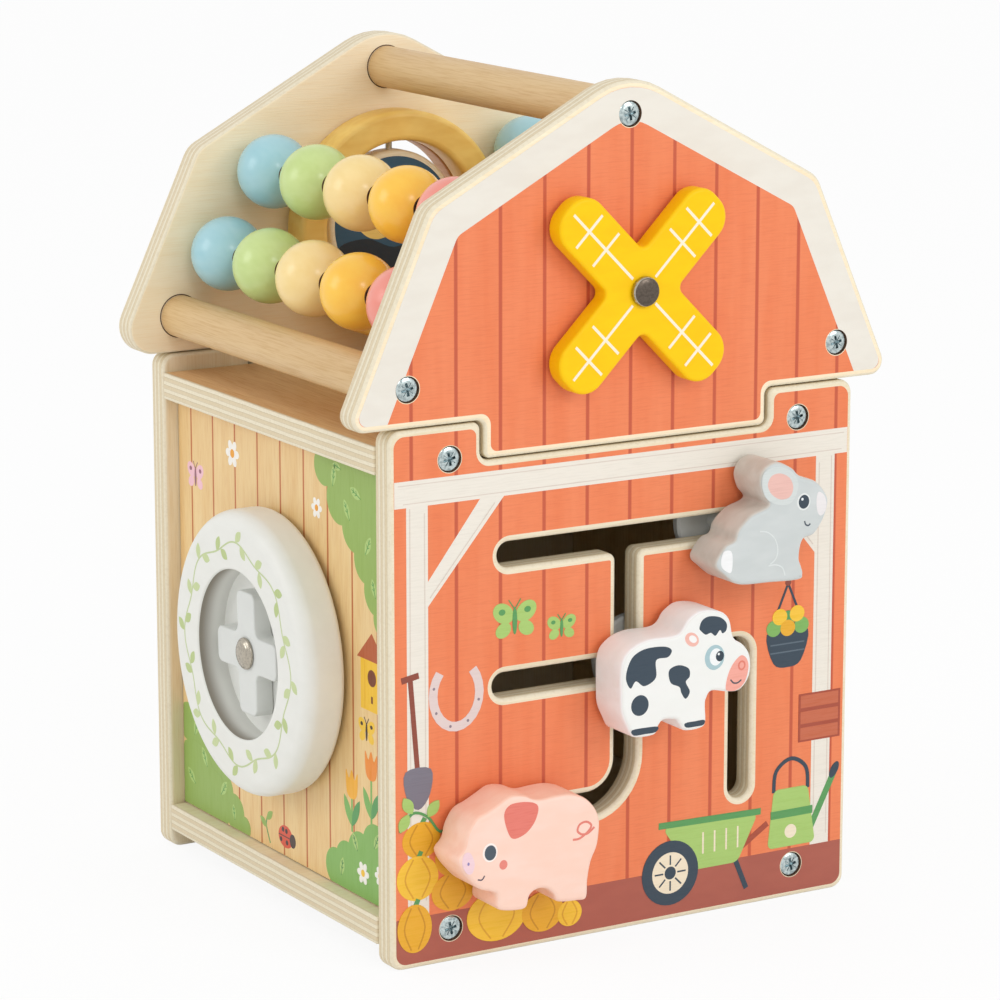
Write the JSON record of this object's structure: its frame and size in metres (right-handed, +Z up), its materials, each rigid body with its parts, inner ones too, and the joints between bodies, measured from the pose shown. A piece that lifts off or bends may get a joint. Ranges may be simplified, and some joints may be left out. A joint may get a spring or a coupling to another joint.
{
  "type": "wooden activity cube",
  "caption": "Barn-shaped toddler activity box with sliding animal figures in a maze, a spinning cross and wheel, a flip disc and bead rods under an open roof.",
  "frame": {"origin": "on the ground at the centre of the overall bounding box", "axes": "+Z up; the maze front faces -Y; the side wheel is on the -X side"},
  "size_m": [0.2182, 0.2, 0.3041],
  "materials": {
    "coral_print": "printed and lacquered ply, satin",
    "birch_ply": "clear satin lacquer on birch ply",
    "plank_print": "plank print on ply, satin",
    "beech": "clear satin lacquer",
    "steel": "zinc plated, satin",
    "bead_blue": "water-based paint, satin gloss",
    "bead_green": "water-based paint, satin gloss",
    "bead_cream": "water-based paint, satin gloss",
    "bead_orange": "water-based paint, satin gloss",
    "bead_pink": "water-based paint, satin gloss",
    "yellow_paint": "water-based paint, satin gloss",
    "ring_paint": "water-based paint, satin gloss",
    "disc_print": "printed ply, bare rim",
    "white_paint": "water-based paint, satin",
    "grey_paint": "water-based paint, satin",
    "rabbit_paint": "printed face on natural wood, satin",
    "cow_paint": "printed face on natural wood, satin",
    "pig_paint": "printed face on natural wood, satin",
    "peg_plastic": "moulded, matt"
  },
  "bodies": {
    "barn": {"front_panel": "coral_print", "rear_panel": "birch_ply", "top_board": "birch_ply", "bottom_board": "birch_ply", "left_side_panel": "plank_print", "right_side_panel": "birch_ply", "front_gable": "coral_print", "rear_gable": "birch_ply", "ridge_dowel": "beech", "left_eave_dowel": "beech", "right_eave_dowel": "beech", "upper_left_rod": "steel", "lower_left_rod": "steel", "upper_right_rod": "steel", "lower_right_rod": "steel", "windmill_rivet": "steel", "flip_ring": "ring_paint", "flip_pin": "steel", "wheel_rivet": "steel", "front_gable_screw_ridge": "steel", "front_gable_screw_left_eave": "steel", "front_gable_screw_right_eave": "steel", "front_panel_screw_upper_left": "steel", "front_panel_screw_upper_right": "steel", "front_panel_screw_lower_left": "steel", "front_panel_screw_lower_right": "steel", "rear_panel_screw_upper_left": "steel", "rear_panel_screw_upper_right": "steel", "rear_panel_screw_lower_left": "steel", "rear_panel_screw_lower_right": "steel"},
    "windmill": {"windmill": "yellow_paint"},
    "side_wheel": {"side_wheel": "white_paint", "wheel_spider": "grey_paint"},
    "flip_disc": {"flip_disc": "disc_print"},
    "upper_left_bead_blue": {"upper_left_bead_blue": "bead_blue"},
    "upper_left_bead_green": {"upper_left_bead_green": "bead_green"},
    "upper_left_bead_cream": {"upper_left_bead_cream": "bead_cream"},
    "upper_left_bead_orange": {"upper_left_bead_orange": "bead_orange"},
    "upper_left_bead_pink": {"upper_left_bead_pink": "bead_pink"},
    "lower_left_bead_blue": {"lower_left_bead_blue": "bead_blue"},
    "lower_left_bead_green": {"lower_left_bead_green": "bead_green"},
    "lower_left_bead_cream": {"lower_left_bead_cream": "bead_cream"},
    "lower_left_bead_orange": {"lower_left_bead_orange": "bead_orange"},
    "lower_left_bead_pink": {"lower_left_bead_pink": "bead_pink"},
    "upper_right_bead_blue": {"upper_right_bead_blue": "bead_blue"},
    "upper_right_bead_green": {"upper_right_bead_green": "bead_green"},
    "upper_right_bead_cream": {"upper_right_bead_cream": "bead_cream"},
    "upper_right_bead_orange": {"upper_right_bead_orange": "bead_orange"},
    "upper_right_bead_pink": {"upper_right_bead_pink": "bead_pink"},
    "lower_right_bead_blue": {"lower_right_bead_blue": "bead_blue"},
    "lower_right_bead_green": {"lower_right_bead_green": "bead_green"},
    "lower_right_bead_cream": {"lower_right_bead_cream": "bead_cream"},
    "lower_right_bead_orange": {"lower_right_bead_orange": "bead_orange"},
    "lower_right_bead_pink": {"lower_right_bead_pink": "bead_pink"},
    "rabbit_peg": {"rabbit_peg": "peg_plastic"},
    "rabbit": {"rabbit": "rabbit_paint"},
    "cow_peg": {"cow_peg": "peg_plastic"},
    "cow": {"cow": "cow_paint"},
    "pig_peg": {"pig_peg": "peg_plastic"},
    "pig": {"pig": "pig_paint"}
  },
  "joints": [
    {"name": "windmill_spin", "type": "hinge", "parent": "barn", "child": "windmill", "pos_m": [0, -0.0855, 0.2313], "axis": [0, -1, 0], "continuous": true},
    {"name": "wheel_spin", "type": "hinge", "parent": "barn", "child": "side_wheel", "pos_m": [-0.0993, 0.01, 0.095], "axis": [-1, 0, 0], "continuous": true},
    {"name": "disc_flip", "type": "hinge", "parent": "barn", "child": "flip_disc", "pos_m": [0, 0.0885, 0.2325], "axis": [0, 0, 1], "continuous": true},
    {"name": "upper_left_bead_blue_slide", "type": "slide", "parent": "barn", "child": "upper_left_bead_blue", "axis": [0, 1, 0], "range_m": [-0.0035, 0.0004]},
    {"name": "upper_left_bead_green_slide", "type": "slide", "parent": "barn", "child": "upper_left_bead_green", "axis": [0, 1, 0], "range_m": [-0.0035, 0.0035]},
    {"name": "upper_left_bead_cream_slide", "type": "slide", "parent": "barn", "child": "upper_left_bead_cream", "axis": [0, 1, 0], "range_m": [-0.0035, 0.0035]},
    {"name": "upper_left_bead_orange_slide", "type": "slide", "parent": "barn", "child": "upper_left_bead_orange", "axis": [0, 1, 0], "range_m": [-0.0035, 0.0035]},
    {"name": "upper_left_bead_pink_slide", "type": "slide", "parent": "barn", "child": "upper_left_bead_pink", "axis": [0, 1, 0], "range_m": [-0.0013, 0.0035]},
    {"name": "lower_left_bead_blue_slide", "type": "slide", "parent": "barn", "child": "lower_left_bead_blue", "axis": [0, 1, 0], "range_m": [-0.0035, 0.0004]},
    {"name": "lower_left_bead_green_slide", "type": "slide", "parent": "barn", "child": "lower_left_bead_green", "axis": [0, 1, 0], "range_m": [-0.0035, 0.0035]},
    {"name": "lower_left_bead_cream_slide", "type": "slide", "parent": "barn", "child": "lower_left_bead_cream", "axis": [0, 1, 0], "range_m": [-0.0035, 0.0035]},
    {"name": "lower_left_bead_orange_slide", "type": "slide", "parent": "barn", "child": "lower_left_bead_orange", "axis": [0, 1, 0], "range_m": [-0.0035, 0.0035]},
    {"name": "lower_left_bead_pink_slide", "type": "slide", "parent": "barn", "child": "lower_left_bead_pink", "axis": [0, 1, 0], "range_m": [-0.0013, 0.0035]},
    {"name": "upper_right_bead_blue_slide", "type": "slide", "parent": "barn", "child": "upper_right_bead_blue", "axis": [0, 1, 0], "range_m": [-0.0035, 0.0004]},
    {"name": "upper_right_bead_green_slide", "type": "slide", "parent": "barn", "child": "upper_right_bead_green", "axis": [0, 1, 0], "range_m": [-0.0035, 0.0035]},
    {"name": "upper_right_bead_cream_slide", "type": "slide", "parent": "barn", "child": "upper_right_bead_cream", "axis": [0, 1, 0], "range_m": [-0.0035, 0.0035]},
    {"name": "upper_right_bead_orange_slide", "type": "slide", "parent": "barn", "child": "upper_right_bead_orange", "axis": [0, 1, 0], "range_m": [-0.0035, 0.0035]},
    {"name": "upper_right_bead_pink_slide", "type": "slide", "parent": "barn", "child": "upper_right_bead_pink", "axis": [0, 1, 0], "range_m": [-0.0013, 0.0035]},
    {"name": "lower_right_bead_blue_slide", "type": "slide", "parent": "barn", "child": "lower_right_bead_blue", "axis": [0, 1, 0], "range_m": [-0.0035, 0.0004]},
    {"name": "lower_right_bead_green_slide", "type": "slide", "parent": "barn", "child": "lower_right_bead_green", "axis": [0, 1, 0], "range_m": [-0.0035, 0.0035]},
    {"name": "lower_right_bead_cream_slide", "type": "slide", "parent": "barn", "child": "lower_right_bead_cream", "axis": [0, 1, 0], "range_m": [-0.0035, 0.0035]},
    {"name": "lower_right_bead_orange_slide", "type": "slide", "parent": "barn", "child": "lower_right_bead_orange", "axis": [0, 1, 0], "range_m": [-0.0035, 0.0035]},
    {"name": "lower_right_bead_pink_slide", "type": "slide", "parent": "barn", "child": "lower_right_bead_pink", "axis": [0, 1, 0], "range_m": [-0.0013, 0.0035]},
    {"name": "rabbit_slide", "type": "slide", "parent": "barn", "child": "rabbit_peg", "axis": [1, 0, 0], "range_m": [-0.092, 0.006]},
    {"name": "rabbit_turn", "type": "hinge", "parent": "rabbit_peg", "child": "rabbit", "pos_m": [0.044, -0.086, 0.1425], "axis": [0, -1, 0], "range_deg": [-12, 12]},
    {"name": "cow_slide", "type": "slide", "parent": "barn", "child": "cow_peg", "axis": [1, 0, 0], "range_m": [-0.06, 0.0386]},
    {"name": "cow_turn", "type": "hinge", "parent": "cow_peg", "child": "cow", "pos_m": [0.01, -0.086, 0.0963], "axis": [0, -1, 0], "range_deg": [-12, 12]},
    {"name": "pig_slide", "type": "slide", "parent": "barn", "child": "pig_peg", "axis": [1, 0, 0], "range_m": [-0.002, 0.034]},
    {"name": "pig_turn", "type": "hinge", "parent": "pig_peg", "child": "pig", "pos_m": [-0.05, -0.086, 0.048], "axis": [0, -1, 0], "range_deg": [-12, 12]}
  ]
}
